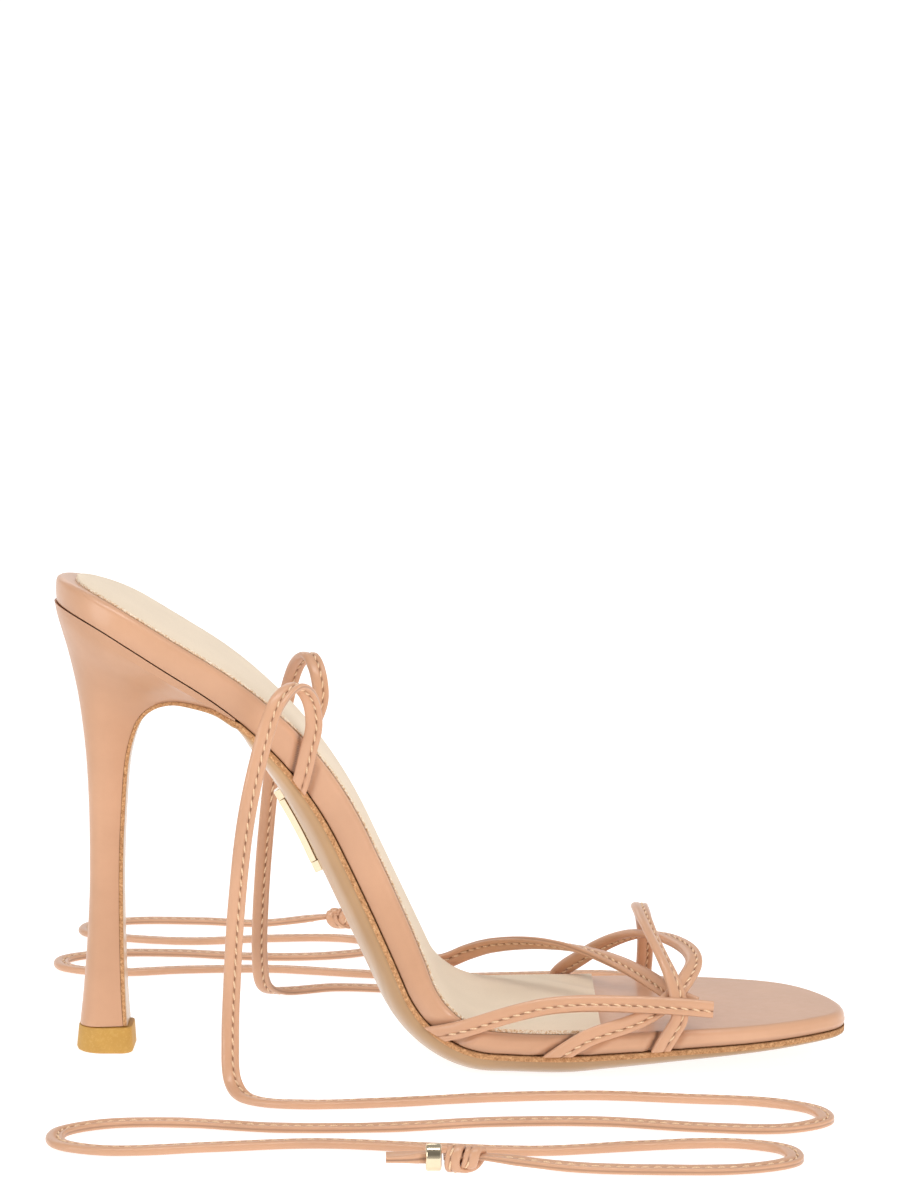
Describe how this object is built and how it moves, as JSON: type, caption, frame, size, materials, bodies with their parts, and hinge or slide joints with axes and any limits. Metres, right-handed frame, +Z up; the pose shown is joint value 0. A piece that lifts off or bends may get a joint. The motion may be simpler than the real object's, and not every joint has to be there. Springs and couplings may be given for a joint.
{
  "type": "heeled sandal",
  "caption": "Strappy high-heeled sandal with a slim stiletto heel, crossed toe straps, an open back and long ankle ties that lie loose beside it.",
  "frame": {"origin": "on the floor, below the middle of the box round the shoe without its ties", "axes": "+X from the heel to the toe, +Y to the outer side of the foot, +Z up"},
  "size_m": [0.2138, 0.2941, 0.1221],
  "materials": {
    "nude_leather": "smooth calf leather, soft gloss",
    "sock_leather": "matt cream lining leather",
    "sole_leather": "smooth varnished sole leather",
    "top_piece_rubber": "tan rubber",
    "pale_gold": "polished pale gold plating"
  },
  "bodies": {
    "root": {"insole_board": "nude_leather", "sock_lining": "sock_leather", "outsole": "sole_leather", "heel": "nude_leather", "heel_top_piece": "top_piece_rubber", "toe_straps": "nude_leather", "arch_plate": "pale_gold", "tie_medial": "nude_leather", "tie_medial_knot": "nude_leather", "tie_medial_bead": "pale_gold", "tie_medial_end": "nude_leather", "tie_lateral": "nude_leather", "tie_lateral_knot": "nude_leather", "tie_lateral_bead": "pale_gold", "tie_lateral_end": "nude_leather"}
  },
  "joints": []
}
